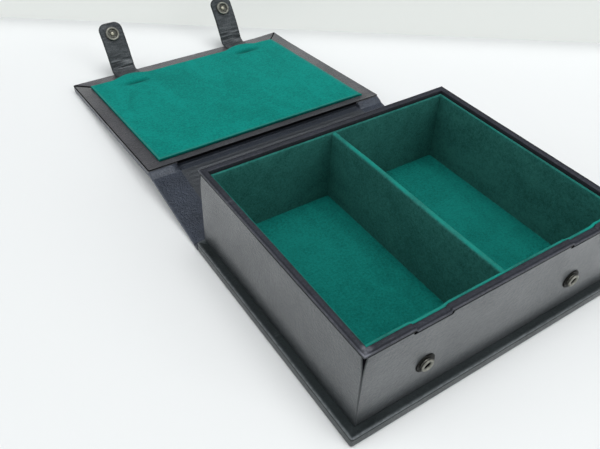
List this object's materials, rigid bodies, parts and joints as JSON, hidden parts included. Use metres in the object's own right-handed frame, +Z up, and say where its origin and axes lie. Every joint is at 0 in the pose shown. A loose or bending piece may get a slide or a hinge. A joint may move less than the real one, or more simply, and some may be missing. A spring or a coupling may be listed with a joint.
{
  "type": "jewelry box",
  "caption": "Leather-covered clamshell jewelry box with velvet-lined compartments, padded lid and snap tabs, shown open",
  "frame": {"origin": "centre of the tray's footprint, on the flat underside of the base, at table level", "axes": "+Z up; +Y from the front wall with the studs back towards the spine and the open lid; +X to the right seen from the front"},
  "size_m": [0.216, 0.4489, 0.0667],
  "materials": {
    "case_leather": "fine-grained, satin, blue-black",
    "hinge_leather": "thin, smooth, creased, blue-black",
    "tab_leather": "two layers, fine-grained, blue-black",
    "velvet": "short-pile green velvet",
    "board": "dense greyboard, raw",
    "snap_metal": "dull antique plating"
  },
  "bodies": {
    "box": {"base_board": "board", "base_cover": "case_leather", "tray_floor_board": "board", "front_wall_board": "board", "back_wall_board": "board", "left_wall_board": "board", "right_wall_board": "board", "front_wall_leather": "case_leather", "back_wall_leather": "case_leather", "left_wall_leather": "case_leather", "right_wall_leather": "case_leather", "front_rim": "case_leather", "back_rim": "case_leather", "left_rim": "case_leather", "right_rim": "case_leather", "front_lining": "velvet", "back_lining": "velvet", "left_lining": "velvet", "right_lining": "velvet", "left_floor_velvet": "velvet", "right_floor_velvet": "velvet", "divider_board": "board", "divider_velvet": "velvet", "left_stud": "snap_metal", "right_stud": "snap_metal", "left_stud_rivet": "snap_metal", "right_stud_rivet": "snap_metal", "base_joint_leather": "hinge_leather"},
    "spine": {"spine_board": "board", "spine_cover": "case_leather", "spine_lining": "hinge_leather", "lid_joint_leather": "hinge_leather"},
    "lid": {"lid_board": "board", "lid_cover": "case_leather", "pad_board": "board", "pad_velvet": "velvet", "left_tab_root": "tab_leather", "right_tab_root": "tab_leather"},
    "left_tab": {"left_tab_face": "tab_leather", "left_tab_back": "tab_leather", "left_socket": "snap_metal", "left_cap": "snap_metal"},
    "right_tab": {"right_tab_face": "tab_leather", "right_tab_back": "tab_leather", "right_socket": "snap_metal", "right_cap": "snap_metal"}
  },
  "joints": [
    {"name": "spine_fold", "type": "hinge", "parent": "box", "child": "spine", "pos_m": [0, 0.0878, 0.0004], "axis": [1, 0, 0], "range_deg": [-10.3, 79.7], "deforming": ["base_joint_leather"]},
    {"name": "lid_fold", "type": "hinge", "parent": "spine", "child": "lid", "pos_m": [0, 0.15903, 0.01334], "axis": [1, 0, 0], "range_deg": [-15, 104.54], "deforming": ["lid_joint_leather"]},
    {"name": "left_tab_fold", "type": "hinge", "parent": "lid", "child": "left_tab", "pos_m": [-0.058, 0.33634, 0.00693], "axis": [1, 0, 0], "range_deg": [-66, 24]},
    {"name": "right_tab_fold", "type": "hinge", "parent": "lid", "child": "right_tab", "pos_m": [0.058, 0.33634, 0.00693], "axis": [1, 0, 0], "range_deg": [-66, 24]}
  ]
}
